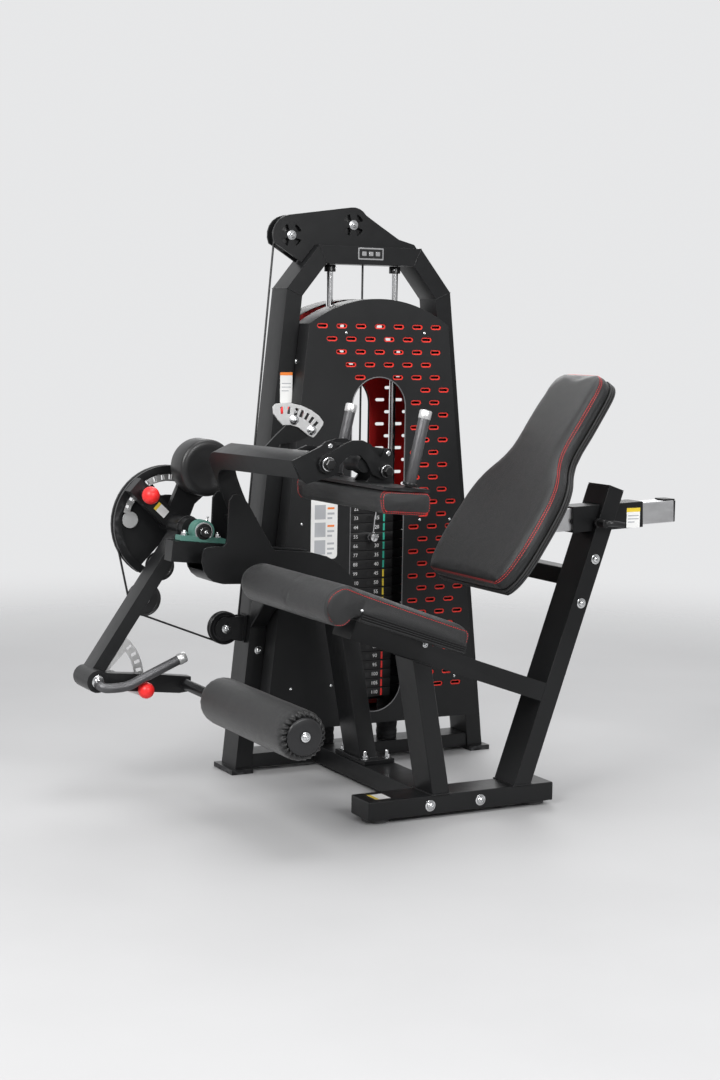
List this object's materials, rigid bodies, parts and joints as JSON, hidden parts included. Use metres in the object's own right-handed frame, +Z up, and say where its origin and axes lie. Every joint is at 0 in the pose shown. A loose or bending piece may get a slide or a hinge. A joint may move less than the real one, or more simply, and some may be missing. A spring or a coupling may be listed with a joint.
{
  "type": "leg extension machine",
  "caption": "Seated leg machine: weight tower, cam and counterbalanced leg lever with padded roller, thigh hold-down with grab handles, seat and sliding backrest.",
  "frame": {"origin": "centre of the bounding box footprint, on the floor", "axes": "+Z up, -X the way the user faces, +Y from the seat to the weight tower"},
  "size_m": [1.5176, 1.043, 1.6067],
  "materials": {
    "frame_paint": "satin powder coat",
    "sheet_paint": "satin powder coat sheet",
    "chrome": "polished",
    "zinc": "zinc plated",
    "index_plate": "satin",
    "rubber": "matt",
    "green_cast": "green enamel",
    "knob": "gloss",
    "upholstery": "grained",
    "weights": "matt black",
    "counterweight": "satin black",
    "pulley": "matt nylon",
    "cable": "coated wire rope",
    "grip": "dark anodised",
    "lanyard": "braided cord"
  },
  "bodies": {
    "frame": {"front_floor_bar": "frame_paint", "front_foot_left": "rubber", "front_foot_right": "rubber", "floor_beam": "frame_paint", "tower_frame": "frame_paint", "top_pulley_bracket": "frame_paint", "guide_rod_left": "chrome", "guide_rod_right": "chrome", "stack_base": "rubber", "weight_plates_resting": "weights", "front_shroud": "sheet_paint", "rear_shroud": "sheet_paint", "seat_post": "frame_paint", "seat_beam": "frame_paint", "back_post": "frame_paint", "back_slide_sleeve": "frame_paint", "brace_right": "frame_paint", "seat_pad": "upholstery", "side_post": "frame_paint", "side_cheeks": "sheet_paint", "pivot_support": "frame_paint", "brace_left": "frame_paint", "pillow_block": "green_cast", "thigh_arm": "frame_paint", "thigh_index_plate": "index_plate", "lower_pulley_bracket": "frame_paint", "lift_cable": "cable", "stack_cable": "cable"},
    "weight_stack": {"weight_plates_lifted": "weights", "weight_head_plate": "weights", "pin_lanyard": "lanyard"},
    "selector": {"selector_pin": "zinc"},
    "backrest": {"back_slide_tube": "chrome", "backrest_board": "frame_paint", "backrest_pad": "upholstery"},
    "backrest_pin": {"slide_pin": "pulley"},
    "cam": {"cam_disc": "frame_paint", "cam_index_plate": "index_plate", "pivot_shaft": "zinc"},
    "lever": {"leg_lever": "frame_paint", "counterweight": "counterweight", "lower_index_plate": "index_plate"},
    "lever_index_pin": {"lever_pin": "knob"},
    "ankle_arm": {"roller_arm": "frame_paint", "arm_grip": "grip", "roller_end_cap": "pulley"},
    "ankle_index_pin": {"roller_pin": "knob"},
    "roller": {"foam_roller": "upholstery"},
    "thigh_main_link": {"thigh_link": "frame_paint"},
    "thigh_second_link": {"thigh_parallel_link": "frame_paint"},
    "thigh_hold_down": {"thigh_carrier": "frame_paint", "thigh_pad": "upholstery", "grab_handle_near": "grip", "grab_handle_far": "grip"},
    "thigh_index_pin": {"thigh_pin": "knob"},
    "pulley_top_left": {"top_pulley_left": "pulley"},
    "pulley_top_right": {"top_pulley_right": "pulley"},
    "pulley_low": {"lower_pulley": "pulley"},
    "pulley_idler_low": {"idler_pulley_lower": "pulley"},
    "pulley_idler_up": {"idler_pulley_upper": "pulley"}
  },
  "joints": [
    {"name": "cam_turn", "type": "hinge", "parent": "frame", "child": "cam", "pos_m": [-0.45883, 0.2905, 0.7197], "axis": [0, 1, 0], "range_deg": [0, 60]},
    {"name": "stack_lift", "type": "slide", "parent": "frame", "child": "weight_stack", "axis": [0, 0, 1], "range_m": [0, 0.1615], "deforming": ["stack_cable"]},
    {"name": "selector_pull", "type": "slide", "parent": "weight_stack", "child": "selector", "axis": [0, -1, 0], "range_m": [0, 0.07]},
    {"name": "backrest_slide", "type": "slide", "parent": "frame", "child": "backrest", "axis": [0.9993, 0, 0.0384], "range_m": [-0.1, 0.05]},
    {"name": "backrest_pin_pull", "type": "slide", "parent": "frame", "child": "backrest_pin", "axis": [0, -1, 0], "range_m": [0, 0.012], "stiffness_N_per_m": 600},
    {"name": "lever_start", "type": "hinge", "parent": "cam", "child": "lever", "pos_m": [-0.45883, 0.2905, 0.7197], "axis": [0, 1, 0], "range_deg": [0, 25]},
    {"name": "lever_pin_pull", "type": "slide", "parent": "lever", "child": "lever_index_pin", "axis": [0, -1, 0], "range_m": [0, 0.012], "stiffness_N_per_m": 800},
    {"name": "ankle_arm_angle", "type": "hinge", "parent": "lever", "child": "ankle_arm", "pos_m": [-0.72883, 0.2355, 0.3228], "axis": [0, 1, 0], "range_deg": [-50, 0]},
    {"name": "ankle_pin_pull", "type": "slide", "parent": "ankle_arm", "child": "ankle_index_pin", "axis": [0, -1, 0], "range_m": [0, 0.012], "stiffness_N_per_m": 800},
    {"name": "roller_spin", "type": "hinge", "parent": "ankle_arm", "child": "roller", "pos_m": [-0.47833, -0.2595, 0.2975], "axis": [0, 1, 0], "continuous": true},
    {"name": "thigh_swing", "type": "hinge", "parent": "frame", "child": "thigh_main_link", "pos_m": [-0.32733, -0.2595, 0.929], "axis": [0, 1, 0], "range_deg": [-19.4, 30.9]},
    {"name": "thigh_level", "type": "hinge", "parent": "thigh_main_link", "child": "thigh_hold_down", "pos_m": [-0.16383, -0.2595, 0.9085], "axis": [0, 1, 0], "range_deg": [-31, 19.5]},
    {"name": "thigh_second_swing", "type": "hinge", "parent": "frame", "child": "thigh_second_link", "pos_m": [-0.31433, -0.2895, 0.972], "axis": [0, 1, 0], "range_deg": [-19.5, 31]},
    {"name": "thigh_pin_pull", "type": "slide", "parent": "thigh_main_link", "child": "thigh_index_pin", "axis": [0, 1, 0], "range_m": [0, 0.012], "stiffness_N_per_m": 800},
    {"name": "top_pulley_left_turn", "type": "hinge", "parent": "frame", "child": "pulley_top_left", "pos_m": [-0.09533, 0.4085, 1.5214], "axis": [0, 1, 0], "range_deg": [-216, 0]},
    {"name": "top_pulley_right_turn", "type": "hinge", "parent": "frame", "child": "pulley_top_right", "pos_m": [0.10067, 0.4085, 1.557], "axis": [0, 1, 0], "range_deg": [-216, 0]},
    {"name": "lower_pulley_turn", "type": "hinge", "parent": "frame", "child": "pulley_low", "pos_m": [-0.28393, 0.4085, 0.4139], "axis": [0, 1, 0], "range_deg": [0, 216]},
    {"name": "idler_lower_turn", "type": "hinge", "parent": "frame", "child": "pulley_idler_low", "pos_m": [-0.52633, 0.4085, 0.509], "axis": [0, 1, 0], "range_deg": [0, 216]},
    {"name": "idler_upper_turn", "type": "hinge", "parent": "frame", "child": "pulley_idler_up", "pos_m": [-0.47933, 0.4085, 0.599], "axis": [0, 1, 0], "continuous": true}
  ],
  "couplings": [
    {"joint": "stack_lift", "follows": "cam_turn", "m_per_rad": 0.154},
    {"joint": "thigh_level", "follows": "thigh_swing", "ratio": -1},
    {"joint": "thigh_second_swing", "follows": "thigh_swing", "ratio": 1},
    {"joint": "top_pulley_left_turn", "follows": "cam_turn", "ratio": -3.58},
    {"joint": "top_pulley_right_turn", "follows": "cam_turn", "ratio": -3.58},
    {"joint": "lower_pulley_turn", "follows": "cam_turn", "ratio": 3.58},
    {"joint": "idler_lower_turn", "follows": "cam_turn", "ratio": 3.58}
  ]
}
